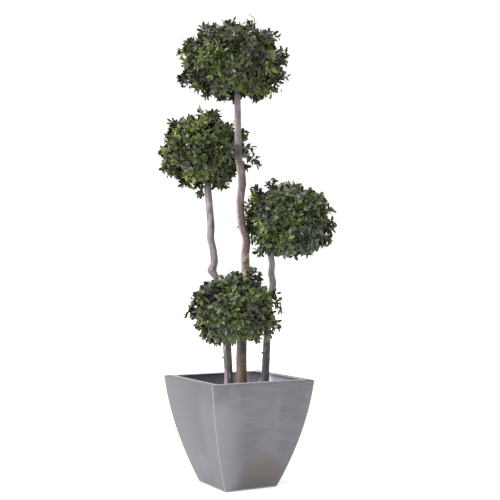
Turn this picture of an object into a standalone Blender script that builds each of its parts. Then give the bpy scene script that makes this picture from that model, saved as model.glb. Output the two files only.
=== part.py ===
"""Potted preserved pittosporum: four clipped balls of foliage on bare stems, in a square metal pot.

The origin is the middle of the pot's flat underside, +Z is up and X and Y run along the pot's sides.
The planting faces a corner-on view, so stems and balls are set out across and back from that front.
"""

import math
import random
from collections import namedtuple

import bmesh
import bpy
from mathutils import Matrix, Vector, noise

# Clearances
SEAT_GAP = 0.0003
LEAF_CLEARANCE = 0.003
CAP_WELD = 0.00001
SLIVER = 0.000003

# Pot
POT_MOUTH = 0.430
POT_BASE = 0.219
POT_HEIGHT = 0.4085
POT_BULGE = 0.016
POT_WALL = 0.003
POT_LIP = 0.036
POT_LEVELS = 10
POT_EDGE = 0.0008
POT_EDGE_STEPS = 2

# Fill
FILL_DROP = 0.078
FILL_SIDE_GAP = 0.0006
FILL_TOP = POT_HEIGHT - FILL_DROP

# The front of the planting, turned from the pot's -Y side towards its -X side
FRONT = math.radians(28.55)

# Edges that turn more than this stay sharp
SHARP_TURN = math.radians(50)

# Stems
Crook = namedtuple("Crook", "height across spread swell")
Stem = namedtuple("Stem", "foot tip foot_radius tip_radius crooks")
STEM_ROUNDNESS = 2
STEM_RING_SPACING = 0.032
STEM_END_STRAIGHT = 0.012
FLARE = 0.14
FLARE_HEIGHT = 0.035

STEMS = {
    "centre": Stem(
        foot=(0.015, 0.030),
        tip=(-0.001, 0.000, 1.500),
        foot_radius=0.0214,
        tip_radius=0.0122,
        crooks=(
            Crook(height=0.804, across=0.023, spread=0.200, swell=-0.03),
            Crook(height=0.938, across=0.013, spread=0.042, swell=-0.02),
            Crook(height=1.169, across=0.013, spread=0.062, swell=0.06),
        ),
    ),
    "left": Stem(
        foot=(-0.043, 0.040),
        tip=(-0.1215, 0.112, 1.158),
        foot_radius=0.0154,
        tip_radius=0.0138,
        crooks=(
            Crook(height=0.511, across=0.017, spread=0.200, swell=0.00),
            Crook(height=0.765, across=0.008, spread=0.030, swell=0.00),
            Crook(height=0.819, across=-0.0145, spread=0.024, swell=0.28),
            Crook(height=0.948, across=-0.0067, spread=0.034, swell=0.02),
        ),
    ),
    "right": Stem(
        foot=(0.103, 0.010),
        tip=(0.130, 0.045, 0.893),
        foot_radius=0.0160,
        tip_radius=0.0120,
        crooks=(
            Crook(height=0.765, across=0.013, spread=0.039, swell=0.06),
            Crook(height=0.840, across=0.0055, spread=0.027, swell=0.00),
        ),
    ),
    "front": Stem(
        foot=(-0.023, -0.085),
        tip=(-0.034, -0.138, 0.566),
        foot_radius=0.0120,
        tip_radius=0.0106,
        crooks=(),
    ),
}

# Balls of foliage
Crown = namedtuple(
    "Crown",
    "bough heart half_width half_height power_above power_below sprigs seed",
)
CROWNS = {
    "top": Crown(
        bough="centre",
        heart=(-0.018, 0.000, 1.628),
        half_width=0.205,
        half_height=0.148,
        power_above=2.5,
        power_below=2.5,
        sprigs=((0.062, 0.186), (0.190, 0.100), (0.212, -0.054), (-0.214, -0.058), (-0.212, 0.050),
                (-0.046, -0.154), (0.088, -0.152)),
        seed=6,
    ),
    "left": Crown(
        bough="left",
        heart=(-0.136, 0.120, 1.293),
        half_width=0.179,
        half_height=0.153,
        power_above=2.8,
        power_below=1.8,
        sprigs=((-0.008, 0.178), (0.064, 0.150), (-0.140, 0.122), (-0.180, -0.070), (-0.020, -0.182),
                (-0.104, -0.142), (0.203, 0.034), (0.222, -0.028)),
        seed=5,
    ),
    "right": Crown(
        bough="right",
        heart=(0.200, 0.050, 1.018),
        half_width=0.168,
        half_height=0.145,
        power_above=2.8,
        power_below=2.3,
        sprigs=((-0.092, 0.160), (-0.010, 0.156), (-0.146, 0.132), (0.142, 0.112), (0.180, -0.044),
                (0.006, -0.152), (0.086, -0.140)),
        seed=2,
    ),
    "front": Crown(
        bough="front",
        heart=(-0.006, -0.150, 0.684),
        half_width=0.154,
        half_height=0.132,
        power_above=2.3,
        power_below=3.0,
        sprigs=((-0.190, 0.000), (0.106, 0.138), (-0.114, -0.106), (-0.086, -0.136), (0.166, -0.066),
                (0.162, 0.066), (0.086, -0.132)),
        seed=5,
    ),
}

# The rule by which a ball grows: a stem to its heart, limbs, twigs and whorls of leaves
CORE_SHARE = 0.82
CORE_LUMP = 0.16
CORE_LUMP_SCALE = 3.0
CORE_SUBDIVISIONS = 3
LIMB_COUNT = 11
LIMB_SHARE = 0.50
LIMB_RADII = (0.0055, 0.0038)
TWIG_COUNT = 41
TWIG_SHARES = (0.96, 1.09)
TWIG_WANDER = 0.10
TWIG_RADII = (0.0036, 0.0032)
LEAVES_PER_WHORL = 3
LEAF_LENGTHS = (0.050, 0.062)
LEAF_WIDTH_SHARE = 0.46
LEAF_THICKNESS_SHARE = 0.06
LEAF_WIDEST = 0.12
LEAF_OPENING = (math.radians(42), math.radians(66))
LEAF_ROOT_DEPTH = 0.006
LEAF_ROOT_SUNK = 0.001
ROOM_SHARE = 1.15

GOLDEN_TURN = math.pi * (3 - math.sqrt(5))


def clear_scene():
    for old in list(bpy.data.objects):
        bpy.data.objects.remove(old, do_unlink=True)


def new_collection(name):
    collection = bpy.data.collections.new(name)
    bpy.context.scene.collection.children.link(collection)
    return collection


def new_material(name, colour, roughness, metallic=0.0):
    material = bpy.data.materials.new(name)
    material.use_nodes = True
    shader = material.node_tree.nodes["Principled BSDF"]
    shader.inputs["Base Color"].default_value = (*colour, 1.0)
    shader.inputs["Roughness"].default_value = roughness
    shader.inputs["Metallic"].default_value = metallic
    return material


def new_object(name, mesh, collection, material=None):
    made = bpy.data.objects.new(name, mesh)
    collection.objects.link(made)
    if material:
        mesh.materials.clear()
        mesh.materials.append(material)
    return made


def set_out(across, back, up):
    """Point in the pot's own frame, from its place across, back from the front, and up."""
    x = math.cos(FRONT) * across + math.sin(FRONT) * back
    y = -math.sin(FRONT) * across + math.cos(FRONT) * back
    return Vector((x, y, up))


# Pot: sheet metal, folded into four bulging sides with a flat lip turned inwards


def pot_half_side(share):
    """Half the pot's outer side, share of the way up from its underside to its rim."""
    straight = POT_BASE + (POT_MOUTH - POT_BASE) * share
    return straight / 2 + POT_BULGE * 4 * share * (1 - share)


def pot_side_slope(share):
    """How much the half side grows for each metre up."""
    return ((POT_MOUTH - POT_BASE) / 2 + POT_BULGE * 4 * (1 - 2 * share)) / POT_HEIGHT


def raise_ring(mesh, edges, half_side, height):
    """Extrudes a square ring of edges to a new half side and height."""
    extruded = bmesh.ops.extrude_edge_only(mesh, edges=edges)["geom"]
    for corner in (item for item in extruded if isinstance(item, bmesh.types.BMVert)):
        corner.co.x = math.copysign(half_side, corner.co.x)
        corner.co.y = math.copysign(half_side, corner.co.y)
        corner.co.z = height
    return [item for item in extruded if isinstance(item, bmesh.types.BMEdge)]


def square_plate(mesh, half_side, height):
    """One square face that looks down, and its edges."""
    plate = bmesh.ops.create_grid(
        mesh, x_segments=1, y_segments=1, size=half_side, matrix=Matrix.Translation((0, 0, height))
    )
    bmesh.ops.reverse_faces(mesh, faces=list({face for v in plate["verts"] for face in v.link_faces}))
    return list({edge for v in plate["verts"] for edge in v.link_edges})


def make_pot(collection):
    mesh = bmesh.new()
    ring = square_plate(mesh, pot_half_side(0), 0)
    for level in range(1, POT_LEVELS + 1):
        share = level / POT_LEVELS
        ring = raise_ring(mesh, ring, pot_half_side(share), share * POT_HEIGHT)
    raise_ring(mesh, ring, POT_MOUTH / 2 - POT_LIP, POT_HEIGHT)
    bmesh.ops.recalc_face_normals(mesh, faces=mesh.faces)
    if next(face for face in mesh.faces if face.calc_center_median().z < SEAT_GAP).normal.z > 0:
        bmesh.ops.reverse_faces(mesh, faces=mesh.faces)
    shell = bpy.data.meshes.new("pot")
    mesh.to_mesh(shell)
    mesh.free()
    metal = new_material("brushed metal", (0.42, 0.41, 0.44), 0.38, metallic=0.85)
    pot = new_object("pot", shell, collection, metal)
    wall = pot.modifiers.new("Wall", "SOLIDIFY")
    wall.thickness = POT_WALL
    wall.offset = -1
    wall.use_even_offset = True
    edges = pot.modifiers.new("Softened edges", "BEVEL")
    edges.width = POT_EDGE
    edges.segments = POT_EDGE_STEPS
    edges.limit_method = "ANGLE"
    edges.angle_limit = SHARP_TURN
    return pot


def make_fill(collection):
    """The block that the stems stand in, following the pot's walls from its floor to the fill's level."""
    mesh = bmesh.new()
    floor = POT_WALL + SEAT_GAP
    levels = [floor]
    levels += [POT_HEIGHT * level / POT_LEVELS for level in range(1, POT_LEVELS)
               if POT_HEIGHT * level / POT_LEVELS < FILL_TOP]
    levels.append(FILL_TOP)

    def half_side(height):
        share = height / POT_HEIGHT
        slant = math.sqrt(1 + pot_side_slope(share) ** 2)
        return pot_half_side(share) - (POT_WALL + FILL_SIDE_GAP) * slant

    ring = square_plate(mesh, half_side(levels[0]), levels[0])
    for height in levels[1:]:
        ring = raise_ring(mesh, ring, half_side(height), height)
    bmesh.ops.edgeloop_fill(mesh, edges=ring)
    bmesh.ops.recalc_face_normals(mesh, faces=mesh.faces)
    block = bpy.data.meshes.new("fill")
    mesh.to_mesh(block)
    mesh.free()
    return new_object("fill", block, collection, new_material("potting fill", (0.05, 0.04, 0.03), 0.95))


# Stems: bare wood, each one tapering limb with a few crooks


def stem_line(stem):
    """Points and radii along a stem, from its foot on the fill to its tip."""
    foot_across, foot_back = stem.foot
    tip_across, tip_back, tip_height = stem.tip
    first = FILL_TOP + SEAT_GAP
    length = tip_height - first
    count = round(length / STEM_RING_SPACING)

    def middle(height):
        share = (height - first) / length
        across = foot_across + (tip_across - foot_across) * share
        back = foot_back + (tip_back - foot_back) * share
        for crook in stem.crooks:
            across += crook.across * math.exp(-(((height - crook.height) / crook.spread) ** 2))
        return across, back

    def radius(height):
        share = (height - first) / length
        size = stem.foot_radius + (stem.tip_radius - stem.foot_radius) * share
        size *= 1 + FLARE * math.exp(-(((height - first) / FLARE_HEIGHT) ** 2))
        for crook in stem.crooks:
            size *= 1 + crook.swell * math.exp(-(((height - crook.height) / crook.spread) ** 2))
        return size

    bottom = first + STEM_END_STRAIGHT
    middle_run = length - 2 * STEM_END_STRAIGHT
    inner = [bottom + middle_run * step / count for step in range(count + 1)]
    heights = [first] + inner + [tip_height]
    places = [inner[0]] + inner + [inner[-1]]
    points = [set_out(*middle(place), height) for place, height in zip(places, heights)]
    return points, [radius(height) for height in heights]


def limb(name, points, radii, collection, material=None):
    """A tapering round limb along the points, as one closed mesh."""
    curve = bpy.data.curves.new(name, "CURVE")
    curve.dimensions = "3D"
    curve.bevel_depth = 1.0
    curve.bevel_resolution = STEM_ROUNDNESS
    curve.use_fill_caps = True
    spline = curve.splines.new("POLY")
    spline.points.add(len(points) - 1)
    for knot, point, radius in zip(spline.points, points, radii):
        knot.co = (*point, 1.0)
        knot.radius = radius
    guide = bpy.data.objects.new(name + " guide", curve)
    collection.objects.link(guide)
    graph = bpy.context.evaluated_depsgraph_get()
    solid = bpy.data.meshes.new_from_object(guide.evaluated_get(graph))
    place = guide.matrix_world.copy()
    bpy.data.objects.remove(guide, do_unlink=True)
    bpy.data.curves.remove(curve)
    mesh = bmesh.new()
    mesh.from_mesh(solid)
    bmesh.ops.remove_doubles(mesh, verts=mesh.verts, dist=CAP_WELD)
    bmesh.ops.recalc_face_normals(mesh, faces=mesh.faces)
    mesh.to_mesh(solid)
    mesh.free()
    solid.name = name
    solid.shade_smooth()
    solid.set_sharp_from_angle(angle=SHARP_TURN)
    made = new_object(name, solid, collection, material)
    made.matrix_world = place
    return made


# Balls of foliage


def outline_reach(crown, direction):
    """Distance from the heart to the ball's outline: squarer than round and wider than tall."""
    level = math.hypot(direction.x, direction.y) / crown.half_width
    upright = abs(direction.z) / crown.half_height
    power = crown.power_above if direction.z > 0 else crown.power_below
    return (level**power + upright**power) ** (-1 / power)


def even_directions(crown, count, chance, wander):
    """Directions from the heart, spread evenly over the ball and each moved a little."""
    for step in range(count):
        up = 1 - (2 * step + 1) / count
        level = math.sqrt(1 - up * up)
        turn = step * GOLDEN_TURN
        stray = Vector([chance.uniform(-wander, wander) for axis in range(3)])
        even = Vector((level * math.cos(turn), level * math.sin(turn), up)) + stray
        even.x *= crown.half_width
        even.y *= crown.half_width
        even.z *= crown.half_height
        yield even.normalized()


def nearest_on_line(point, points):
    """The least distance from a point to the pieces between points, and the share of the way along."""
    best = (math.inf, 0.0)
    for index, (start, end) in enumerate(zip(points, points[1:])):
        run = end - start
        share = max(0.0, min(1.0, (point - start).dot(run) / run.length_squared))
        distance = (start + run * share - point).length
        best = min(best, (distance, (index + share) / (len(points) - 1)))
    return best


def is_clear(samples, crown, heart, stem_lines, allowance):
    """Whether the sample points stay in the ball's own room and off every stem."""
    for sample in samples:
        offset = sample - heart
        if offset.length > outline_reach(crown, offset.normalized()) * allowance:
            return False
        for points, radii in stem_lines.values():
            distance, share = nearest_on_line(sample, points)
            radius = radii[round(share * (len(radii) - 1))]
            if distance < radius + LEAF_CLEARANCE:
                return False
    return True


def along(direction, place):
    """Matrix that turns +Z to a direction and moves there."""
    return Matrix.Translation(place) @ direction.to_track_quat("Z", "Y").to_matrix().to_4x4()


def twig(name, start, end, radii, collection):
    """A three-sided tapering twig."""
    mesh = bmesh.new()
    run = end - start
    bmesh.ops.create_cone(
        mesh,
        segments=3,
        cap_ends=True,
        radius1=radii[0],
        radius2=radii[1],
        depth=run.length,
        matrix=along(run, (start + end) / 2),
    )
    solid = bpy.data.meshes.new(name)
    mesh.to_mesh(solid)
    mesh.free()
    return new_object(name, solid, collection)


def leaf_frame(root, run, length, growth):
    """Matrix of a leaf modelled round the origin: +Z from root to tip, +X across its blade."""
    across = growth.cross(run).normalized()
    through = run.cross(across)
    turn = Matrix((across, through, run)).transposed().to_4x4()
    return Matrix.Translation(root + run * (length / 2)) @ turn


def leaf_corners(frame, length):
    """Tip and two widest corners of a leaf."""
    half_width = length * LEAF_WIDTH_SHARE / 2
    widest = length * LEAF_WIDEST
    corners = ((0, 0, length / 2), (half_width, 0, widest), (-half_width, 0, widest))
    return [frame @ Vector(corner) for corner in corners]


def leaf(name, frame, length, collection):
    """A leaf of eight faces, widest a little past its middle."""
    mesh = bmesh.new()
    bmesh.ops.create_uvsphere(mesh, u_segments=4, v_segments=2, radius=0.5)
    for corner in mesh.verts:
        is_end = abs(corner.co.z) > abs(corner.co.x) + abs(corner.co.y)
        corner.co.x *= length * LEAF_WIDTH_SHARE
        corner.co.y *= length * LEAF_THICKNESS_SHARE
        corner.co.z = length * (corner.co.z if is_end else LEAF_WIDEST)
    bmesh.ops.transform(mesh, matrix=frame, verts=mesh.verts)
    solid = bpy.data.meshes.new(name)
    mesh.to_mesh(solid)
    mesh.free()
    return new_object(name, solid, collection)


def make_core(name, crown, heart, collection, material):
    """The dense middle of a clipped ball, gently lumpy, inside the outline that the leaves reach."""
    mesh = bmesh.new()
    bmesh.ops.create_icosphere(mesh, subdivisions=CORE_SUBDIVISIONS, radius=1)
    reach = Vector((crown.half_width, crown.half_width, crown.half_height))
    for corner in mesh.verts:
        direction = (corner.co * reach).normalized()
        lump = noise.noise(corner.co * CORE_LUMP_SCALE + Vector((crown.seed, 0, 0)))
        distance = outline_reach(crown, direction) * CORE_SHARE * (1 + CORE_LUMP * lump)
        corner.co = heart + direction * distance
    solid = bpy.data.meshes.new(name)
    mesh.to_mesh(solid)
    mesh.free()
    return new_object(name, solid, collection, material)


def keep_largest_body(mesh_data):
    """Fills sealed hollows and drops loose scraps, by keeping only the largest connected surface."""
    mesh = bmesh.new()
    mesh.from_mesh(mesh_data)
    bmesh.ops.triangulate(mesh, faces=mesh.faces)
    bmesh.ops.dissolve_degenerate(mesh, edges=mesh.edges, dist=SLIVER)
    bmesh.ops.triangulate(mesh, faces=mesh.faces)
    left = set(mesh.faces)
    bodies = []
    while left:
        todo = [left.pop()]
        body = []
        while todo:
            face = todo.pop()
            body.append(face)
            for edge in face.edges:
                for beside in edge.link_faces:
                    if beside in left:
                        left.remove(beside)
                        todo.append(beside)
        bodies.append(body)
    bodies.sort(key=len)
    for body in bodies[:-1]:
        bmesh.ops.delete(mesh, geom=body, context="FACES")
    loose = [corner for corner in mesh.verts if not corner.link_faces]
    bmesh.ops.delete(mesh, geom=loose, context="VERTS")
    mesh.to_mesh(mesh_data)
    mesh.free()


def make_crown(label, crown, stem_lines, collection, cutters):
    """A ball: from its bough's tip a stem to the heart, then limbs, twigs and leaves round a dense core."""
    chance = random.Random(crown.seed)
    heart = set_out(*crown.heart)
    name = "crown_" + label
    foliage = new_material(label + " foliage", (0.07, 0.13, 0.04), 0.6)
    core = make_core(name, crown, heart, collection, foliage)

    bough_points, bough_radii = stem_lines[crown.bough]
    foot = bough_points[-1] + Vector((0, 0, SEAT_GAP))
    straight = foot + Vector((0, 0, STEM_END_STRAIGHT))
    limb(name + " stem", [foot, straight, heart], [bough_radii[-1]] * 2 + [LIMB_RADII[0]], cutters)

    limb_tips = []
    for direction in even_directions(crown, LIMB_COUNT, chance, 0.0):
        tip = heart + direction * outline_reach(crown, direction) * LIMB_SHARE
        twig(name + " limb", heart, tip, LIMB_RADII, cutters)
        limb_tips.append(tip)

    shoots = []
    for direction in even_directions(crown, TWIG_COUNT, chance, TWIG_WANDER):
        share = chance.uniform(*TWIG_SHARES)
        shoots.append((direction * outline_reach(crown, direction) * share, ROOM_SHARE))
    for across, up in crown.sprigs:
        shoots.append((set_out(across, 0, up), math.inf))

    for offset, allowance in shoots:
        length = chance.uniform(*LEAF_LENGTHS)
        opening = chance.uniform(*LEAF_OPENING)
        first_turn = chance.uniform(0, math.tau)
        direction = offset.normalized()
        end = heart + offset - direction * length * math.cos(opening)
        limb_tip = min(limb_tips, key=lambda tip: (tip - end).length)
        if not is_clear([end, (end + limb_tip) / 2], crown, heart, stem_lines, allowance):
            continue
        twig(name + " twig", limb_tip, end, TWIG_RADII, cutters)
        growth = (end - limb_tip).normalized()
        side = growth.orthogonal().normalized()
        for place in range(LEAVES_PER_WHORL):
            turn = Matrix.Rotation(first_turn + math.tau * place / LEAVES_PER_WHORL, 3, growth)
            outward = turn @ side
            run = growth * math.cos(opening) + outward * math.sin(opening)
            root = end - growth * LEAF_ROOT_DEPTH - run * LEAF_ROOT_SUNK
            frame = leaf_frame(root, run, length, growth)
            if is_clear(leaf_corners(frame, length), crown, heart, stem_lines, allowance):
                leaf(name + " leaf", frame, length, cutters)

    union = core.modifiers.new("Fused", "BOOLEAN")
    union.operation = "UNION"
    union.operand_type = "COLLECTION"
    union.collection = cutters
    union.solver = "MANIFOLD"
    bpy.context.view_layer.objects.active = core
    bpy.ops.object.modifier_apply(modifier=union.name)
    for used in list(cutters.objects):
        bpy.data.objects.remove(used, do_unlink=True)
    keep_largest_body(core.data)
    return core


def main():
    clear_scene()
    plant = new_collection("potted_pittosporum")
    cutters = new_collection("growing parts")
    make_pot(plant)
    make_fill(plant)
    stem_lines = {label: stem_line(stem) for label, stem in STEMS.items()}
    for label, (points, radii) in stem_lines.items():
        bark = new_material(label + " bark", (0.30, 0.24, 0.23), 0.8)
        limb("stem_" + label, points, radii, plant, bark)
    for label, crown in CROWNS.items():
        make_crown(label, crown, stem_lines, plant, cutters)


if __name__ == "__main__":
    main()
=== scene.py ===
"""Potted preserved pittosporum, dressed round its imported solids.

The order is that of assembly: view and studio, pot, fill, stems, spurs, then twigs and leaves.
Metres, +Z up, with the origin in the middle of the pot's underside.
"""

import math
import random
from collections import namedtuple

import bpy
import numpy as np
from mathutils import Matrix, Vector, noise


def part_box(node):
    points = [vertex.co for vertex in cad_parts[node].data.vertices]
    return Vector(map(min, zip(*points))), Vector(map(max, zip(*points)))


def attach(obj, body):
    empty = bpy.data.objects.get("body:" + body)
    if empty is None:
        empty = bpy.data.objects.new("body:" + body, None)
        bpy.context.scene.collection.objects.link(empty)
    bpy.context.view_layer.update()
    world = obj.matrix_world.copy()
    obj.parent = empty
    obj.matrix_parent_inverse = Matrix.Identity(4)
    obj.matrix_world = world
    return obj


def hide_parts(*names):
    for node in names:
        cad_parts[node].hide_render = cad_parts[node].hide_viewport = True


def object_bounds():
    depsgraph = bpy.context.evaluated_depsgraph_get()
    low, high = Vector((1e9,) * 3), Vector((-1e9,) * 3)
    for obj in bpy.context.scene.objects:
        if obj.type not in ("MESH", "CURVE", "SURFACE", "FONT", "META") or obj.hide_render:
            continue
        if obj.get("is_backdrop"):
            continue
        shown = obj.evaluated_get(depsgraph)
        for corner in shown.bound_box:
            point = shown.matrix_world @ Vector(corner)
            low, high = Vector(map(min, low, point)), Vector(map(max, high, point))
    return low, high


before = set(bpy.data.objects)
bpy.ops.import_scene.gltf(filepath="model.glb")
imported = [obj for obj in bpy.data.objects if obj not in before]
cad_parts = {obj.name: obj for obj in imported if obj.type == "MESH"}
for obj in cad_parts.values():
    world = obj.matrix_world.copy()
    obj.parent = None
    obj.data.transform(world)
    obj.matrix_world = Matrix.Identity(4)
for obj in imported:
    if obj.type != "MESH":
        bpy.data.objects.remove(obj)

cad_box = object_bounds()


# The view. The camera stands low before the pot's near corner and looks up a little, so that
# the plant fills the square frame from its foot to its top leaves.
FRONT = math.radians(28.55)
VIEW_PLACE = (-1.7522, -3.3204, 0.8008)
VIEW_TILT = math.radians(1.5)
VIEW_LENS = 69.94

bpy.ops.object.select_all(action="DESELECT")
bpy.ops.object.camera_add(location=VIEW_PLACE, rotation=(math.pi / 2 + VIEW_TILT, 0, -FRONT))
camera = bpy.context.object
camera.name = "view"
camera.data.lens = VIEW_LENS
bpy.context.scene.camera = camera
bpy.context.scene.view_settings.view_transform = "Standard"


# The studio. A pale seamless floor under even white light, and one broad soft lamp from high on
# the left, a little in front of the plant.
FLOOR_RADIUS = 60.0
FLOOR_SIDES = 128
FLOOR_DROP = 0.0004
FLOOR_COLOUR = (0.80, 0.80, 0.80)
FLOOR_ROUGHNESS = 0.9
FLOOR_GLOW = 0.36
WHITE = (1, 1, 1, 1)
AIR_STRENGTH = 1.22
LAMP_STRENGTH = 4.6
LAMP_BREADTH = math.radians(36)
LAMP_LEFT = 0.90
LAMP_FORWARD = 0.48
LAMP_UP = 0.50
LAMP_DISTANCE = 3

bpy.ops.object.select_all(action="DESELECT")
bpy.ops.mesh.primitive_circle_add(
    vertices=FLOOR_SIDES, radius=FLOOR_RADIUS, fill_type="NGON", location=(0, 0, -FLOOR_DROP)
)
floor = bpy.context.object
floor.name = "studio_floor"
paper = bpy.data.materials.new("studio paper")
paper.use_nodes = True
shader = paper.node_tree.nodes["Principled BSDF"]
shader.inputs["Base Color"].default_value = (*FLOOR_COLOUR, 1)
shader.inputs["Roughness"].default_value = FLOOR_ROUGHNESS
shader.inputs["Emission Color"].default_value = WHITE
shader.inputs["Emission Strength"].default_value = FLOOR_GLOW
floor.data.materials.append(paper)
floor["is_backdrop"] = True

air = bpy.data.worlds.new("studio air")
air.use_nodes = True
air.node_tree.nodes["Background"].inputs["Color"].default_value = WHITE
air.node_tree.nodes["Background"].inputs["Strength"].default_value = AIR_STRENGTH
bpy.context.scene.world = air

to_left = Vector((-math.cos(FRONT), math.sin(FRONT), 0))
to_front = Vector((-math.sin(FRONT), -math.cos(FRONT), 0))
lamp_side = to_left * LAMP_LEFT + to_front * LAMP_FORWARD + Vector((0, 0, LAMP_UP))
bpy.ops.object.light_add(type="SUN", location=lamp_side * LAMP_DISTANCE)
lamp = bpy.context.object
lamp.name = "soft_lamp"
lamp.data.energy = LAMP_STRENGTH
lamp.data.angle = LAMP_BREADTH
lamp.rotation_euler = lamp_side.to_track_quat("Z", "Y").to_euler()


# The pot. Sheet metal in four bowed panels, folded and welded at the corners, with a flat lip
# turned in at the mouth, brushed level all round. Its corners, rim and foot carry painted
# highlights, a painted highlight grows low down beside the near corner, a painted dark reflection
# lies low on the right face, and its left panel and its inside are darkened with painted shade.
POT_MOUTH = 0.430
POT_BASE = 0.219
POT_HEIGHT = 0.4085
POT_BULGE = 0.016
POT_WALL = 0.0016
POT_LIP = 0.036
POT_LIP_BEND = 0.004
POT_LIP_STEPS = 5
POT_LEVELS = 40
POT_FOLD = 0.0016
POT_FOLD_STEPS = 3
POT_FOLD_ANGLE = math.radians(40)
POT_SMOOTH_ANGLE = math.radians(35)
POT_LIP_BAND = 0.003
POT_FACING_UP = 0.5
POT_FACING_IN = -0.02
METAL_TONES = ((0.106, 0.102, 0.113), (0.178, 0.172, 0.189))
METAL_ROUGHNESS = (0.36, 0.52)
CLOUD_SHARE = 0.46
SMEAR_SHARE = 0.24
STREAK_SHARE = 0.30
# Painted shade on the left panel, as the share that darkens it
LEFT_PAINTED_SHADE = 0.38
PANEL_EDGE = (-0.002, 0.002)
INSIDE_TONES = ((0.43, 0.418, 0.470), (0.70, 0.690, 0.755))
INSIDE_ROUGHNESS = (0.45, 0.65)
LIP_TONES = ((0.155, 0.150, 0.162), (0.190, 0.185, 0.198))
LIP_ROUGHNESS = (0.70, 0.90)

# A mark on the metal: its tone, the most that it covers, and where its fading starts and ends.
# A painted highlight starts and ends to grow instead, by nearness to the near corner: 2 on it, 1
# half-way along a panel
Mark = namedtuple("Mark", "tone most start end")
NEAR_HIGHLIGHT_LEFT = Mark(tone=(0.252, 0.240, 0.251), most=0.30, start=1.22, end=1.60)
NEAR_HIGHLIGHT_RIGHT = Mark(tone=NEAR_HIGHLIGHT_LEFT.tone, most=0.60, start=1.22, end=1.95)
NEAR_HIGHLIGHT_HEIGHTS = (0.300, 0.400)
# A painted dark reflection low on the right face, and a blued tint on the left face
DARK_REFLECTION_PLACE = (0.036, -0.137, 0.056)
DARK_REFLECTION = Mark(tone=(0.134, 0.122, 0.117), most=0.95, start=0.045, end=0.120)
BLUED_PLACE = (-0.142, -0.023, 0.086)
BLUED = Mark(tone=(0.165, 0.165, 0.195), most=0.60, start=0.020, end=0.080)
RAGGED = (-0.018, 0.018)
# Painted highlights along the outer corners and the foot, and on the lip near the mouth
CORNER_HIGHLIGHT = Mark(tone=(0.30, 0.295, 0.32), most=0.75, start=0.0008, end=0.0055)
BASE_HIGHLIGHT = Mark(tone=CORNER_HIGHLIGHT.tone, most=0.90, start=0.0025, end=0.0080)
# Painted shade on the inside walls towards -X, away from the lamp, and the inside corners' light
# weld seam, lightened further as a painted highlight
INSIDE_PAINTED_SHADE = Mark(tone=(0.085, 0.080, 0.098), most=0.75, start=0.030, end=0.200)
SEAM_AND_HIGHLIGHT = Mark(tone=(0.80, 0.79, 0.82), most=0.90, start=0.0030, end=0.0100)
RIM_HIGHLIGHT = Mark(tone=(0.40, 0.39, 0.42), most=1.0, start=0.0100, end=0.0230)


def new_finish(name, colour, roughness, metallic=0.0, gloss=0.5):
    """A material, its node tree and its shader, with the values set that are even all over."""
    finish = bpy.data.materials.new(name)
    finish.use_nodes = True
    shader = finish.node_tree.nodes["Principled BSDF"]
    shader.inputs["Base Color"].default_value = (*colour, 1)
    shader.inputs["Roughness"].default_value = roughness
    shader.inputs["Metallic"].default_value = metallic
    shader.inputs["Specular IOR Level"].default_value = gloss
    return finish, finish.node_tree, shader


def grain(tree, scale, detail, stretch=(1, 1, 1), rough=0.55, warp=0.0):
    """Noise in the piece's own metres, stretched along its axes."""
    place = tree.nodes.new("ShaderNodeTexCoord")
    turn = tree.nodes.new("ShaderNodeMapping")
    turn.inputs["Scale"].default_value = stretch
    spots = tree.nodes.new("ShaderNodeTexNoise")
    spots.inputs["Scale"].default_value = scale
    spots.inputs["Detail"].default_value = detail
    spots.inputs["Roughness"].default_value = rough
    spots.inputs["Distortion"].default_value = warp
    tree.links.new(place.outputs["Object"], turn.inputs["Vector"])
    tree.links.new(turn.outputs["Vector"], spots.inputs["Vector"])
    return spots.outputs["Fac"]


def stepped(tree, value, between=(0, 1), to=(0, 1), smooth=False):
    """A value moved from one range to another and kept inside it."""
    step = tree.nodes.new("ShaderNodeMapRange")
    step.interpolation_type = "SMOOTHSTEP" if smooth else "LINEAR"
    for name, number in zip(("From Min", "From Max", "To Min", "To Max"), (*between, *to)):
        step.inputs[name].default_value = number
    tree.links.new(value, step.inputs["Value"])
    return step.outputs["Result"]


def blended(tree, share, first, second):
    """Two colours, plain or linked, mixed by a share."""
    mix = tree.nodes.new("ShaderNodeMix")
    mix.data_type = "RGBA"
    tree.links.new(share, mix.inputs["Factor"])
    for name, colour in (("A", first), ("B", second)):
        socket = [item for item in mix.inputs if item.name == name and item.type == "RGBA"][0]
        if isinstance(colour, tuple):
            socket.default_value = (*colour, 1)
        else:
            tree.links.new(colour, socket)
    return [item for item in mix.outputs if item.type == "RGBA"][0]


def calculated(tree, operation, first, second=0.0):
    """One sum on values, plain or linked."""
    sum_node = tree.nodes.new("ShaderNodeMath")
    sum_node.operation = operation
    for socket, value in zip(sum_node.inputs, (first, second)):
        if isinstance(value, (int, float)):
            socket.default_value = value
        else:
            tree.links.new(value, socket)
    return sum_node.outputs["Value"]


def raised(tree, shader, height, depth):
    """Relief on the shader's normal, depth in metres."""
    bump = tree.nodes.new("ShaderNodeBump")
    bump.inputs["Distance"].default_value = depth
    tree.links.new(height, bump.inputs["Height"])
    tree.links.new(bump.outputs["Normal"], shader.inputs["Normal"])


def own_axes(tree):
    """A point's place on its own piece, and that place along each axis."""
    place = tree.nodes.new("ShaderNodeTexCoord").outputs["Object"]
    axes = tree.nodes.new("ShaderNodeSeparateXYZ")
    tree.links.new(place, axes.inputs["Vector"])
    return place, axes.outputs


def cover(tree, value, mark):
    """How much a mark covers: its most where the value is low, and nothing past its end."""
    return stepped(tree, value, between=(mark.start, mark.end), to=(mark.most, 0), smooth=True)


def pot_half_side(share):
    """Half the pot's width at a share of its height, bowed out most half-way up."""
    straight = POT_BASE + (POT_MOUTH - POT_BASE) * share
    return straight / 2 + POT_BULGE * 4 * share * (1 - share)


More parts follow.
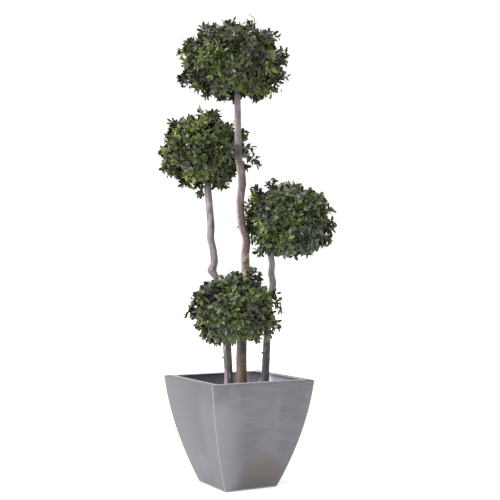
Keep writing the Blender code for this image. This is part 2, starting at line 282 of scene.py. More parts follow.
bpy.ops.object.select_all(action="DESELECT")
bpy.ops.mesh.primitive_plane_add(size=POT_BASE, location=(0, 0, 0))
pot = bpy.context.object
pot.name = "pot_shell"
bpy.ops.object.mode_set(mode="EDIT")
bpy.ops.mesh.select_mode(type="EDGE")
bpy.ops.mesh.select_all(action="SELECT")
wall_top = POT_HEIGHT - POT_LIP_BEND
profile = [(0, pot_half_side(0))]
for level in range(1, POT_LEVELS + 1):
    height = wall_top * level / POT_LEVELS
    profile.append((height, pot_half_side(height / POT_HEIGHT)))
for step in range(1, POT_LIP_STEPS + 1):
    bend = math.pi / 2 * step / POT_LIP_STEPS
    height = wall_top + POT_LIP_BEND * math.sin(bend)
    profile.append((height, profile[POT_LEVELS][1] - POT_LIP_BEND * (1 - math.cos(bend))))
profile.append((POT_HEIGHT, POT_MOUTH / 2 - POT_LIP))
for (low, before), (high, after) in zip(profile, profile[1:]):
    bpy.ops.mesh.extrude_edges_move(TRANSFORM_OT_translate={"value": (0, 0, high - low)})
    bpy.ops.transform.resize(value=(after / before, after / before, 1), center_override=(0, 0, 0))
bpy.ops.mesh.select_all(action="SELECT")
bpy.ops.mesh.normals_make_consistent(inside=False)
bpy.ops.object.mode_set(mode="OBJECT")
underside = min(pot.data.polygons, key=lambda face: face.center.z)
if underside.normal.z > 0:
    pot.data.flip_normals()
wall = pot.modifiers.new("Wall", "SOLIDIFY")
wall.thickness = POT_WALL
wall.offset = -1
wall.use_even_offset = True
bpy.ops.object.modifier_apply(modifier=wall.name)
fold = pot.modifiers.new("Folds", "BEVEL")
fold.width = POT_FOLD
fold.segments = POT_FOLD_STEPS
fold.limit_method = "ANGLE"
fold.angle_limit = POT_FOLD_ANGLE
bpy.ops.object.modifier_apply(modifier=fold.name)
bpy.ops.object.shade_smooth_by_angle(angle=POT_SMOOTH_ANGLE)

metal, tree, shader = new_finish(
    "brushed pot metal", METAL_TONES[0], roughness=0.42, metallic=0.9
)
clouds = grain(tree, scale=7, detail=5, stretch=(1, 1, 0.8), warp=0.6)
clouds = stepped(tree, clouds, between=(0.32, 0.70), smooth=True)
smears = grain(tree, scale=13, detail=4, stretch=(1, 1, 3.5), warp=0.4)
smears = stepped(tree, smears, between=(0.35, 0.68), smooth=True)
streaks = grain(tree, scale=1, detail=3, stretch=(9, 9, 420), rough=0.7)
streaks = stepped(tree, streaks, between=(0.30, 0.72))
brushed = calculated(tree, "MULTIPLY", clouds, CLOUD_SHARE)
for marks, share in ((smears, SMEAR_SHARE), (streaks, STREAK_SHARE)):
    brushed = calculated(tree, "ADD", brushed, calculated(tree, "MULTIPLY", marks, share))
skin = blended(tree, brushed, *METAL_TONES)
place, axes = own_axes(tree)
across, along = (calculated(tree, "ABSOLUTE", axes[name]) for name in "XY")
forward = calculated(tree, "MULTIPLY", calculated(tree, "ADD", axes["X"], axes["Y"]), -1)
near_corner = calculated(tree, "DIVIDE", forward, calculated(tree, "MAXIMUM", across, along))
on_right = stepped(tree, calculated(tree, "SUBTRACT", along, across), between=PANEL_EDGE)
on_left = calculated(tree, "SUBTRACT", 1, on_right)
# Painted shade: the left panel, which the lamp lights most, is darkened towards the darker metal
# tone
skin = blended(tree, calculated(tree, "MULTIPLY", on_left, LEFT_PAINTED_SHADE), skin, METAL_TONES[0])
# Painted highlight: low down, both panels lighten towards the near corner
low_down = stepped(tree, axes["Z"], between=NEAR_HIGHLIGHT_HEIGHTS, to=(1, 0), smooth=True)
for panel, highlight in ((on_left, NEAR_HIGHLIGHT_LEFT), (on_right, NEAR_HIGHLIGHT_RIGHT)):
    near = (highlight.start, highlight.end)
    shine = stepped(tree, near_corner, between=near, to=(0, highlight.most), smooth=True)
    shine = calculated(tree, "MULTIPLY", calculated(tree, "MULTIPLY", shine, panel), low_down)
    skin = blended(tree, shine, skin, highlight.tone)
# Painted reflection: a dark patch low on the right face stands for reflected shade; the blued patch
# on the left face is a tint
for centre, reflection_and_tint in ((DARK_REFLECTION_PLACE, DARK_REFLECTION), (BLUED_PLACE, BLUED)):
    gap = tree.nodes.new("ShaderNodeVectorMath")
    gap.operation = "DISTANCE"
    gap.inputs[1].default_value = centre
    tree.links.new(place, gap.inputs[0])
    ragged = stepped(tree, grain(tree, scale=14, detail=3), between=(0.3, 0.7), to=RAGGED)
    away = calculated(tree, "ADD", gap.outputs["Value"], ragged)
    skin = blended(tree, cover(tree, away, reflection_and_tint), skin, reflection_and_tint.tone)
# Painted highlight: the outer corners and the foot are lightened along their edges
off_corner = calculated(tree, "ABSOLUTE", calculated(tree, "SUBTRACT", across, along))
edge_highlights = cover(tree, off_corner, CORNER_HIGHLIGHT)
edge_highlights = calculated(tree, "MAXIMUM", edge_highlights, cover(tree, axes["Z"], BASE_HIGHLIGHT))
skin = blended(tree, edge_highlights, skin, CORNER_HIGHLIGHT.tone)
tree.links.new(skin, shader.inputs["Base Color"])
tree.links.new(stepped(tree, brushed, to=METAL_ROUGHNESS), shader.inputs["Roughness"])
raised(tree, shader, streaks, depth=0.00008)

bare, tree, shader = new_finish(
    "unbrushed metal inside the pot", INSIDE_TONES[0], roughness=0.55, metallic=0.6
)
runs = grain(tree, scale=22, detail=4, stretch=(1, 1, 0.25), warp=0.5)
runs = stepped(tree, runs, between=(0.30, 0.70), smooth=True)
skin = blended(tree, runs, *INSIDE_TONES)
place, axes = own_axes(tree)
# Painted shade: the inside darkens towards -X, on the walls that face away from the lamp
skin = blended(tree, cover(tree, axes["X"], INSIDE_PAINTED_SHADE), skin, INSIDE_PAINTED_SHADE.tone)
across, along = (calculated(tree, "ABSOLUTE", axes[name]) for name in "XY")
# The inside corners carry a light weld seam, partly a painted highlight
off_corner = calculated(tree, "ABSOLUTE", calculated(tree, "SUBTRACT", across, along))
skin = blended(tree, cover(tree, off_corner, SEAM_AND_HIGHLIGHT), skin, SEAM_AND_HIGHLIGHT.tone)
tree.links.new(skin, shader.inputs["Base Color"])
tree.links.new(stepped(tree, runs, to=INSIDE_ROUGHNESS), shader.inputs["Roughness"])
raised(tree, shader, grain(tree, scale=90, detail=4), depth=0.0002)

lip, tree, shader = new_finish(
    "lip of the pot", LIP_TONES[0], roughness=0.8, metallic=0.2, gloss=0.1
)
dull = stepped(tree, grain(tree, scale=40, detail=4), between=(0.30, 0.70), smooth=True)
skin = blended(tree, dull, *LIP_TONES)
place, axes = own_axes(tree)
across, along = (calculated(tree, "ABSOLUTE", axes[name]) for name in "XY")
# Painted highlight: the lip lightens towards its inner edge at the mouth
off_middle = calculated(tree, "MAXIMUM", across, along)
off_mouth = calculated(tree, "SUBTRACT", off_middle, POT_MOUTH / 2 - POT_LIP)
skin = blended(tree, cover(tree, off_mouth, RIM_HIGHLIGHT), skin, RIM_HIGHLIGHT.tone)
tree.links.new(skin, shader.inputs["Base Color"])
tree.links.new(stepped(tree, dull, to=LIP_ROUGHNESS), shader.inputs["Roughness"])
raised(tree, shader, dull, depth=0.0001)

for finish in (metal, bare, lip):
    pot.data.materials.append(finish)
for face in pot.data.polygons:
    outward = face.center.x * face.normal.x + face.center.y * face.normal.y
    if face.center.z > POT_HEIGHT - POT_LIP_BAND and face.normal.z > POT_FACING_UP:
        face.material_index = 2
    elif outward < POT_FACING_IN:
        face.material_index = 1
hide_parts("pot")
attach(pot, "root")


# The fill. A dark block of potting material wedges the stems in the pot, and loose bark chips
# cover its top.
FILL_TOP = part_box("fill")[1].z
SOIL_TONES = ((0.010, 0.008, 0.006), (0.040, 0.028, 0.020))
CHIP_COUNT = 900
CHIP_SIDES = (0.008, 0.026)
CHIP_NARROWNESS = 0.7
CHIP_THICKNESS = (0.0025, 0.006)
CHIP_BEVEL = 0.22
CHIP_UNEVENNESS = (0.75, 1.2)
CHIP_TILT = 0.22
CHIP_LAYERS = 0.010
CHIP_SETTLING = 1.6
CHIP_SEED = 4
CHIP_TONES = ((0.030, 0.022, 0.016), (0.055, 0.036, 0.024), (0.085, 0.056, 0.036))
CHIP_ROUGHNESS = (0.75, 1.0)

soil, tree, shader = new_finish("potting fill", SOIL_TONES[0], roughness=0.95)
crumbs = grain(tree, scale=160, detail=6)
tree.links.new(blended(tree, crumbs, *SOIL_TONES), shader.inputs["Base Color"])
raised(tree, shader, crumbs, depth=0.003)
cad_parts["fill"].data.materials.clear()
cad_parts["fill"].data.materials.append(soil)


def uneven_finish(name, tone, roughness, roughnesses, scale, detail, depth, gloss=0.5):
    """A finish of one tone, uneven in its shine and its surface."""
    finish, tree, shader = new_finish(name, tone, roughness, gloss=gloss)
    pattern = grain(tree, scale, detail)
    tree.links.new(stepped(tree, pattern, to=roughnesses), shader.inputs["Roughness"])
    raised(tree, shader, pattern, depth)
    return finish


def joined(name, corners, faces, tones, finishes):
    """One mesh from arrays of corners and of three-cornered faces, and a finish for each face."""
    mesh = bpy.data.meshes.new(name)
    mesh.vertices.add(len(corners))
    mesh.vertices.foreach_set("co", np.float32(corners).ravel())
    mesh.loops.add(faces.size)
    mesh.loops.foreach_set("vertex_index", np.int32(faces).ravel())
    mesh.polygons.add(len(faces))
    mesh.polygons.foreach_set("loop_start", np.arange(0, faces.size, 3, dtype=np.int32))
    for finish in finishes:
        mesh.materials.append(finish)
    mesh.polygons.foreach_set("material_index", np.int32(tones))
    mesh.update(calc_edges=True)
    mesh.validate()
    made = bpy.data.objects.new(name, mesh)
    bpy.context.scene.collection.objects.link(made)
    return made


bpy.ops.object.select_all(action="DESELECT")
bpy.ops.mesh.primitive_cube_add(size=1, location=(0, 0, 0))
chip = bpy.context.object
bpy.ops.object.mode_set(mode="EDIT")
bpy.ops.mesh.select_all(action="SELECT")
bpy.ops.mesh.bevel(offset=CHIP_BEVEL, segments=1, affect="EDGES")
bpy.ops.mesh.quads_convert_to_tris()
bpy.ops.object.mode_set(mode="OBJECT")
chip_corners = np.array([corner.co for corner in chip.data.vertices])
chip_faces = np.array([face.vertices for face in chip.data.polygons])
bpy.data.objects.remove(chip, do_unlink=True)

chance = random.Random(CHIP_SEED)
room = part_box("fill")[1].x - CHIP_SIDES[1]
chips = []
for number in range(CHIP_COUNT):
    long_side, short_side = chance.uniform(*CHIP_SIDES), chance.uniform(*CHIP_SIDES)
    size = Vector((long_side, short_side * CHIP_NARROWNESS, chance.uniform(*CHIP_THICKNESS)))
    lift = chance.random() ** CHIP_SETTLING * CHIP_LAYERS
    spot = Vector((chance.uniform(-room, room), chance.uniform(-room, room), 0))
    spot.z = FILL_TOP + size.z / 2 + lift
    tilt = Matrix.Rotation(chance.gauss(0, CHIP_TILT), 4, "X")
    tilt = tilt @ Matrix.Rotation(chance.gauss(0, CHIP_TILT), 4, "Y")
    turn = Matrix.Translation(spot) @ Matrix.Rotation(chance.uniform(0, math.tau), 4, "Z") @ tilt
    uneven = [[chance.uniform(*CHIP_UNEVENNESS) for axis in range(3)] for corner in chip_corners]
    shape = chip_corners * np.array(uneven) * np.array(size)
    chips.append(shape @ np.array(turn.to_3x3()).T + np.array(spot))
faces = np.concatenate([chip_faces + len(chip_corners) * number for number in range(CHIP_COUNT)])
tones = np.repeat([chance.randrange(len(CHIP_TONES)) for chip in chips], len(chip_faces))
finishes = [
    uneven_finish(
        f"bark chip {number + 1}", tone, 0.9, CHIP_ROUGHNESS, scale=220, detail=4, depth=0.0012
    )
    for number, tone in enumerate(CHIP_TONES)
]
bark_chips = joined("bark_chips", np.concatenate(chips), faces, tones, finishes)
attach(bark_chips, "root")


# The stems. Four bare trunks of the shrub, stood in the fill: thin grey bark over brown wood,
# with long flutes, fine fibres, and knots where side shoots were cut away.
SEAT_GAP = 0.0003
STEM_END_STRAIGHT = 0.012
FLARE = 0.14
FLARE_HEIGHT = 0.035
RING_SPACING = 0.0035
STEM_SIDES = 36
BARK_SMOOTH_ANGLE = math.radians(60)
KNOT_SPREAD = 0.0055
KNOT_HEIGHT = 0.0022
KNOT_SIZES = (0.6, 1.3)
KNOT_OFF_ENDS = 0.03
KNOT_REACH = 3
KNOT_PIT_DEPTH = 0.7
KNOT_PIT_TIGHTNESS = 2.6
STEM_NOISE_SHIFT = 7.3

# Relief of the bark: how fine it is round the stem and along it, and how deep, for the flutes as
# a share of the radius and for the rest in metres
Relief = namedtuple("Relief", "around along depth")
FLUTES = Relief(around=1.1, along=5, depth=0.055)
FIBRES = Relief(around=4.5, along=22, depth=0.00035)
SPECKS = Relief(around=11, along=120, depth=0.00022)

# A crook is a bend to one side at a height, and a stem's foot and tip are given across, back, up
Crook = namedtuple("Crook", "height across spread swell")
Stem = namedtuple("Stem", "foot tip foot_radius tip_radius crooks knots seed")

STEMS = {
    "centre": Stem(
        foot=(0.015, 0.030), tip=(-0.001, 0.000, 1.500), foot_radius=0.0214, tip_radius=0.0122,
        crooks=(
            Crook(height=0.804, across=0.023, spread=0.200, swell=-0.03),
            Crook(height=0.938, across=0.012, spread=0.042, swell=-0.06),
            Crook(height=1.169, across=0.013, spread=0.062, swell=0.06),
        ),
        knots=15, seed=3,
    ),
    "left": Stem(
        foot=(-0.043, 0.040), tip=(-0.1215, 0.112, 1.158), foot_radius=0.0154, tip_radius=0.0138,
        crooks=(
            Crook(height=0.511, across=0.017, spread=0.200, swell=0.00),
            Crook(height=0.765, across=0.008, spread=0.030, swell=0.00),
            Crook(height=0.819, across=-0.0145, spread=0.024, swell=0.28),
            Crook(height=0.948, across=-0.0067, spread=0.034, swell=0.02),
        ),
        knots=8, seed=5,
    ),
    "right": Stem(
        foot=(0.103, 0.010), tip=(0.130, 0.045, 0.893), foot_radius=0.0160, tip_radius=0.0120,
        crooks=(
            Crook(height=0.765, across=0.013, spread=0.039, swell=0.06),
            Crook(height=0.840, across=0.0055, spread=0.027, swell=0.00),
        ),
        knots=7, seed=8,
    ),
    "front": Stem(
        foot=(-0.023, -0.085), tip=(-0.034, -0.138, 0.566), foot_radius=0.0120, tip_radius=0.0106,
        crooks=(),
        knots=3, seed=2,
    ),
}

# Bark tones by height: each entry is a height and the colour of the bark from there up. The dark
# bands low on the centre and right stems, the centre's band at 1.27 just under the top ball, and
# the whole front stem are painted shade from the balls above them
BARK_TONES_AND_SHADE = {
    "centre": (
        (0.36, (0.122, 0.077, 0.045)), (0.45, (0.076, 0.051, 0.038)),
        (0.50, (0.036, 0.028, 0.024)), (0.66, (0.100, 0.074, 0.064)),
        (0.80, (0.240, 0.178, 0.122)), (0.850, (0.078, 0.044, 0.040)),
        (1.00, (0.108, 0.070, 0.067)), (1.06, (0.086, 0.055, 0.049)),
        (1.14, (0.090, 0.064, 0.062)), (1.22, (0.110, 0.080, 0.078)),
        (1.27, (0.056, 0.044, 0.041)), (1.32, (0.140, 0.110, 0.116)),
        (1.41, (0.185, 0.152, 0.162)),
    ),
    "left": (
        (0.36, (0.225, 0.178, 0.208)), (0.455, (0.078, 0.064, 0.066)),
        (0.508, (0.225, 0.196, 0.198)), (0.65, (0.160, 0.116, 0.110)),
        (0.84, (0.166, 0.136, 0.146)), (0.92, (0.182, 0.158, 0.172)),
        (0.96, (0.134, 0.112, 0.116)), (1.07, (0.132, 0.112, 0.117)),
    ),
    "right": (
        (0.36, (0.060, 0.052, 0.052)), (0.445, (0.040, 0.034, 0.035)),
        (0.49, (0.080, 0.070, 0.072)), (0.515, (0.225, 0.196, 0.192)),
        (0.66, (0.115, 0.098, 0.096)), (0.80, (0.148, 0.130, 0.132)),
    ),
    "front": (
        (0.36, (0.036, 0.028, 0.029)), (0.52, (0.050, 0.041, 0.042)),
    ),
}
BARK_DARK = (0.034, 0.025, 0.024)
BARK_PALE = (0.40, 0.36, 0.37)
BAND_FADE = 0.02
BAND_WAVER = (-0.07, 0.07)
# Painted highlight on the side of the bark that faces the lamp: its direction, its turn, its
# heights, its share low down and its share on each stem
PAINTED_LIGHT_SIDE = (-0.878, 0.478, 0)
PAINTED_LIGHT_TURN = (0.45, 0.90)
PAINTED_LIGHT_HEIGHTS = (0.76, 0.92)
PAINTED_LIGHT_LOW_DOWN = 0.15
PAINTED_LIGHT_SHARE = {"centre": 0.56, "left": 0.0, "right": 0.45, "front": 0.0}


def set_out(across, back, up):
    """A point in the pot's frame, from its place across the view, back from it, and up."""
    x = math.cos(FRONT) * across + math.sin(FRONT) * back
    y = -math.sin(FRONT) * across + math.cos(FRONT) * back
    return Vector((x, y, up))


def stem_line(stem):
    """Points and radii along a stem, from its foot on the fill to its tip in the leaves."""
    foot_across, foot_back = stem.foot
    tip_across, tip_back, tip_height = stem.tip
    first = FILL_TOP + SEAT_GAP
    length = tip_height - first
    bottom = first + STEM_END_STRAIGHT
    top = tip_height - STEM_END_STRAIGHT
    points, radii = [], []
    rings = round(length / RING_SPACING)
    for step in range(rings + 1):
        height = first + length * step / rings
        place = min(max(height, bottom), top)
        share = (place - first) / length
        across = foot_across + (tip_across - foot_across) * share
        back = foot_back + (tip_back - foot_back) * share
        rise = height - first
        radius = stem.foot_radius + (stem.tip_radius - stem.foot_radius) * rise / length
        radius *= 1 + FLARE * math.exp(-((rise / FLARE_HEIGHT) ** 2))
        for crook in stem.crooks:
            bend = math.exp(-(((place - crook.height) / crook.spread) ** 2))
            across += crook.across * bend
            radius *= 1 + crook.swell * bend
        points.append(set_out(across, back, height))
        radii.append(radius)
    return points, radii


def wrinkle(round_it, height, shift, relief):
    """How far one kind of relief stands in or out at a point of the bark, from -1 to 1."""
    place = round_it * relief.around + Vector((0, 0, height * relief.along))
    return noise.noise(place + shift)


def bark_relief(points, radii, stem):
    """How far each point of the bark stands off the plain limb, ring by ring."""
    chance = random.Random(stem.seed)
    knots = []
    for number in range(stem.knots):
        height = chance.uniform(points[0].z + KNOT_OFF_ENDS, points[-1].z - KNOT_OFF_ENDS)
        knots.append((height, chance.uniform(0, math.tau), chance.uniform(*KNOT_SIZES)))
    shift = Vector((stem.seed * STEM_NOISE_SHIFT, 0, 0))
    relief = []
    for point, radius in zip(points, radii):
        ring = []
        for side in range(STEM_SIDES):
            angle = math.tau * side / STEM_SIDES
            round_it = Vector((math.cos(angle), math.sin(angle), 0))
            flute, fibre, speck = (
                wrinkle(round_it, point.z, shift, kind) for kind in (FLUTES, FIBRES, SPECKS)
            )
            stand = radius * FLUTES.depth * flute + FIBRES.depth * fibre + SPECKS.depth * speck
            for height, turn, size in knots:
                rise = (point.z - height) / (KNOT_SPREAD * size)
                if abs(rise) > KNOT_REACH:
                    continue
                swing = (angle - turn + math.pi) % math.tau - math.pi
                away = math.hypot(rise, swing * radius / (KNOT_SPREAD * size))
                pit = KNOT_PIT_DEPTH * math.exp(-(away * KNOT_PIT_TIGHTNESS) ** 2)
                stand += KNOT_HEIGHT * size * (math.exp(-away * away) - pit)
            ring.append(stand)
        relief.append(ring)
    return relief


def open_at_top(piece):
    """Enter edit mode with only the piece's topmost face selected."""
    bpy.ops.object.mode_set(mode="EDIT")
    bpy.ops.mesh.select_all(action="DESELECT")
    bpy.ops.object.mode_set(mode="OBJECT")
    max(piece.data.polygons, key=lambda face: face.center.z).select = True
    bpy.ops.object.mode_set(mode="EDIT")
    bpy.ops.mesh.select_mode(type="FACE")


stem_lines = {}
for label, stem in STEMS.items():
    points, radii = stem_line(stem)
    stem_lines[label] = (points, radii)
    relief = bark_relief(points, radii, stem)
    bpy.ops.object.select_all(action="DESELECT")
    bpy.ops.mesh.primitive_cylinder_add(
        vertices=STEM_SIDES, radius=stem.foot_radius, depth=RING_SPACING,
        location=points[0] + Vector((0, 0, RING_SPACING / 2)),
    )
    trunk = bpy.context.object
    trunk.name = "bark_" + label
    open_at_top(trunk)
    for step in range(2, len(points)):
        bpy.ops.mesh.extrude_region_move(TRANSFORM_OT_translate={"value": (0, 0, RING_SPACING)})
    bpy.ops.object.mode_set(mode="OBJECT")
    bpy.ops.object.transform_apply()
    base = points[0]
    for corner in trunk.data.vertices:
        level = min(max(round((corner.co.z - base.z) / RING_SPACING), 0), len(points) - 1)
        angle = math.atan2(corner.co.y - base.y, corner.co.x - base.x) % math.tau
        side = round(angle / math.tau * STEM_SIDES) % STEM_SIDES
        out = radii[level] + relief[level][side]
        corner.co = points[level] + Vector((math.cos(angle) * out, math.sin(angle) * out, 0))
    bpy.ops.object.shade_smooth_by_angle(angle=BARK_SMOOTH_ANGLE)

    skin = BARK_TONES_AND_SHADE[label][0][1]
    bark, tree, shader = new_finish(f"bark of the {label} stem", skin, roughness=0.64, gloss=0.40)
    place, axes = own_axes(tree)
    waver = stepped(tree, grain(tree, scale=30, detail=3), between=(0.25, 0.75), to=BAND_WAVER)
    height = calculated(tree, "ADD", axes["Z"], waver)
    # The bark tones by height, whose dark bands under the balls are painted shade
    for start, tone in BARK_TONES_AND_SHADE[label][1:]:
        above = stepped(tree, height, between=(start - BAND_FADE, start + BAND_FADE), smooth=True)
        skin = blended(tree, above, skin, tone)
    mottle = grain(tree, scale=34, detail=5, stretch=(1, 1, 0.45), warp=0.5)
    mottle = stepped(tree, mottle, between=(0.42, 0.70), to=(0, 0.62), smooth=True)
    skin = blended(tree, mottle, skin, BARK_DARK)
    # Painted highlight: bark facing the lamp's side, left of the view, is blended towards the pale
    # tone, less so low down
    facing = tree.nodes.new("ShaderNodeVectorMath")
    facing.operation = "DOT_PRODUCT"
    facing.inputs[1].default_value = PAINTED_LIGHT_SIDE
    tree.links.new(tree.nodes.new("ShaderNodeTexCoord").outputs["Normal"], facing.inputs[0])
    painted_light = stepped(tree, facing.outputs["Value"], PAINTED_LIGHT_TURN, (0, PAINTED_LIGHT_SHARE[label]), smooth=True)
    high_up = stepped(tree, height, between=PAINTED_LIGHT_HEIGHTS, to=(PAINTED_LIGHT_LOW_DOWN, 1), smooth=True)
    skin = blended(tree, calculated(tree, "MULTIPLY", painted_light, high_up), skin, BARK_PALE)
    patch = grain(tree, scale=26, detail=4, stretch=(1, 1, 0.30))
    patch = stepped(tree, patch, between=(0.56, 0.74), to=(0, 0.30), smooth=True)
    skin = blended(tree, patch, skin, BARK_PALE)
    streak = grain(tree, scale=120, detail=5, stretch=(1, 1, 0.12))
    streak = stepped(tree, streak, between=(0.50, 0.72), to=(0, 0.72))
    skin = blended(tree, streak, skin, BARK_DARK)
    fleck = grain(tree, scale=130, detail=4, stretch=(1, 1, 0.45))
    fleck = stepped(tree, fleck, between=(0.57, 0.72), to=(0, 0.45))
    skin = blended(tree, fleck, skin, BARK_PALE)
    tree.links.new(skin, shader.inputs["Base Color"])
    ridges = grain(tree, scale=260, detail=6, stretch=(1, 1, 0.2))
    raised(tree, shader, ridges, depth=0.0009)
    trunk.data.materials.append(bark)
    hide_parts("stem_" + label)
    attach(trunk, "root")


# The spurs. Short dead ends of side shoots, of the stem's own wood. They were left standing when
# the shoots were cut back, so each leans up and away from its stem and is sawn flat on top.
SPUR_RADIUS = 0.0024
SPUR_FOOT_RADIUS = 0.0036
SPUR_SIDES = 10
SPUR_LENGTH = 0.0085
SPUR_STEPS = ((0.35, 0.78), (0.40, 0.92), (0.25, 0.85))
SPUR_SMOOTH_ANGLE = math.radians(40)
SPUR_TONE = (0.075, 0.058, 0.054)
SPUR_ROUGHNESS = (0.70, 0.95)

# A spur's turn is from the right of the view and its lean from upright, in degrees
Spur = namedtuple("Spur", "stem height turn lean")
SPURS = (
    Spur("centre", 0.986, 186, 62),
    Spur("centre", 0.470, 150, 48),
    Spur("centre", 1.318, 20, 55),
    Spur("centre", 0.620, 300, 50),
    Spur("left", 0.478, 175, 58),
    Spur("left", 0.905, 95, 52),
    Spur("right", 0.600, 25, 56),
    Spur("right", 0.500, 200, 50),
    Spur("front", 0.455, 190, 60),
)

sawn = uneven_finish(
    "sawn spur", SPUR_TONE, 0.85, SPUR_ROUGHNESS, scale=300, detail=4, depth=0.0006, gloss=0.3
)
stubs = []
for spur in SPURS:
    points, radii = stem_lines[spur.stem]
    index = min(range(len(points)), key=lambda near: abs(points[near].z - spur.height))
    turn = math.radians(spur.turn) - FRONT
    lean = math.radians(spur.lean)
    outward = Vector((math.cos(turn), math.sin(turn), 0))
    root = points[index] + outward * (radii[index] - SPUR_RADIUS)
    bpy.ops.object.select_all(action="DESELECT")
    bpy.ops.mesh.primitive_cylinder_add(
        vertices=SPUR_SIDES, radius=SPUR_FOOT_RADIUS, depth=SPUR_LENGTH / 2, location=root,
        rotation=(0, lean, turn),
    )
    stub = bpy.context.object
    open_at_top(stub)
    across = math.sin(lean)
    run = Vector((across * math.cos(turn), across * math.sin(turn), math.cos(lean)))
    for share, taper in SPUR_STEPS:
        growth = run * SPUR_LENGTH * share
        bpy.ops.mesh.extrude_region_move(TRANSFORM_OT_translate={"value": growth})
        bpy.ops.transform.resize(value=(taper, taper, taper))
    bpy.ops.object.mode_set(mode="OBJECT")
    bpy.ops.object.transform_apply()
    bpy.ops.object.shade_smooth_by_angle(angle=SPUR_SMOOTH_ANGLE)
    stub.data.materials.append(sawn)
    stubs.append(stub)
bpy.ops.object.select_all(action="DESELECT")
for stub in stubs:
    stub.select_set(True)
bpy.context.view_layer.objects.active = stubs[0]
bpy.ops.object.join()
spurs = bpy.context.object
spurs.name = "bark_spurs"
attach(spurs, "root")


# The balls. Each grows from its bough's tip: a stem to the heart, limbs, then twigs that fork
# into leafy shoots, clipped round and full, and preserved with their leaves on. Sprigs, and one
# bare twig to a ball, stand out of the clipped outline.
#
# Places in a ball are from its heart: across and up for its sprigs, its stray twig and its
# patches of fresh growth, and across, back, up and a leaf tone for the sprays that reach furthest
Crown = namedtuple(
    "Crown",
    "bough heart half_width half_height base power_above power_below sprigs reaching stray "
    "stray_tone fresh sprays droop tones seed",
)
CROWNS = {
    "top": Crown(
        bough="centre", heart=(-0.018, 0.000, 1.628),
        half_width=0.198, half_height=0.146, base=0.134, power_above=2.4, power_below=2.5,
        sprigs=(
            (0.180, 0.119), (0.214, 0.033), (0.214, 0.010), (0.214, -0.053), (0.203, -0.084),
            (0.168, -0.113), (0.095, -0.150), (-0.054, -0.150), (-0.116, -0.129), (-0.174, -0.102),
            (-0.216, -0.057), (-0.213, -0.082), (-0.218, 0.057), (-0.189, 0.092), (-0.120, 0.147),
            (-0.031, 0.166), (0.077, 0.166), (0.143, 0.135),
        ),
        reaching=(),
        stray=(
            (0.085, 0.140), (0.085, 0.155), (0.083, 0.168), (0.076, 0.178), (0.068, 0.184),
            (0.060, 0.192),
        ),
        stray_tone=1,
        fresh=(
            (-0.094, -0.052), (0.052, 0.072), (0.065, 0.020), (0.000, -0.085), (0.130, 0.040),
            (0.150, -0.030),
        ),
        sprays=290, droop=0.003, tones=(19, 26, 30, 17, 5, 3), seed=6,
    ),
    "left": Crown(
        bough="left", heart=(-0.136, 0.120, 1.293),
        half_width=0.172, half_height=0.150, base=0.150, power_above=2.6, power_below=1.9,
        sprigs=(
            (-0.008, 0.186), (0.032, 0.168), (-0.056, 0.152), (-0.135, 0.128), (-0.155, 0.078),
            (-0.185, 0.009), (-0.181, -0.051), (-0.167, -0.083), (-0.095, -0.135), (-0.012, -0.181),
            (0.080, -0.147), (0.120, -0.099), (0.178, 0.088), (0.206, 0.031), (0.230, -0.029),
            (0.178, -0.065),
        ),
        reaching=((0.130, -0.172, -0.010, 0), (0.120, -0.172, -0.014, 1)),
        stray=((-0.122, -0.080), (-0.130, -0.093), (-0.137, -0.100)),
        stray_tone=1,
        fresh=(
            (-0.015, 0.130), (0.040, 0.060), (0.090, 0.020), (-0.130, 0.070), (0.020, -0.085),
            (0.110, -0.030),
        ),
        sprays=240, droop=0.003, tones=(16, 22, 27, 19, 8, 8), seed=5,
    ),
    "right": Crown(
        bough="right", heart=(0.200, 0.050, 1.018),
        half_width=0.162, half_height=0.142, base=0.142, power_above=2.7, power_below=2.4,
        sprigs=(
            (-0.087, 0.159), (-0.006, 0.150), (-0.146, 0.130), (0.098, 0.117), (0.137, 0.104),
            (0.153, 0.072), (0.179, -0.016), (0.189, -0.042), (0.173, -0.085), (0.146, -0.098),
            (0.085, -0.137), (0.030, -0.146), (0.000, -0.153), (-0.126, -0.137), (-0.175, 0.072),
        ),
        reaching=(
            (-0.182, 0, 0.045, 3), (-0.182, 0, 0.022, 5), (-0.180, 0, -0.004, 2),
            (-0.174, 0, -0.030, 3), (-0.166, 0, -0.055, 5), (-0.156, 0, -0.080, 3),
        ),
        stray=((-0.120, 0.100), (-0.138, 0.088), (-0.155, 0.082)),
        stray_tone=2,
        fresh=((-0.045, -0.070), (0.060, 0.090)),
        sprays=220, droop=0.006, tones=(6, 18, 25, 12, 2, 37), seed=2,
    ),
    "front": Crown(
        bough="front", heart=(-0.006, -0.150, 0.684),
        half_width=0.150, half_height=0.130, base=0.130, power_above=2.3, power_below=2.8,
        sprigs=(
            (0.066, 0.150), (0.103, 0.130), (-0.001, 0.132), (0.162, 0.067), (0.174, 0.027),
            (0.168, -0.071), (0.140, -0.093), (0.082, -0.129), (-0.087, -0.138), (-0.115, -0.114),
            (-0.010, -0.135), (-0.146, -0.062), (-0.192, -0.010), (-0.167, -0.016), (-0.180, 0.030),
            (-0.161, 0.058),
        ),
        reaching=(),
        stray=((0.150, 0.030), (0.168, 0.026), (0.180, 0.018), (0.188, 0.008)),
        stray_tone=2,
        fresh=((-0.045, 0.100), (-0.055, -0.055), (0.040, -0.080), (0.125, 0.075)),
        sprays=185, droop=0.014, tones=(17, 25, 20, 8, 2, 28), seed=5,
    ),
}
LIMB_COUNT = 11
LIMB_SHARE = 0.50
LIMB_RADII = (0.0055, 0.0034)
LIMB_SAG = 0.006
TWIG_RADII = (0.0019, 0.0012)
TWIG_SAG = 0.008
SHOOT_RADII = (0.0011, 0.0006)
SHOOT_BOW = 0.006
SHOOT_SAG = 0.004
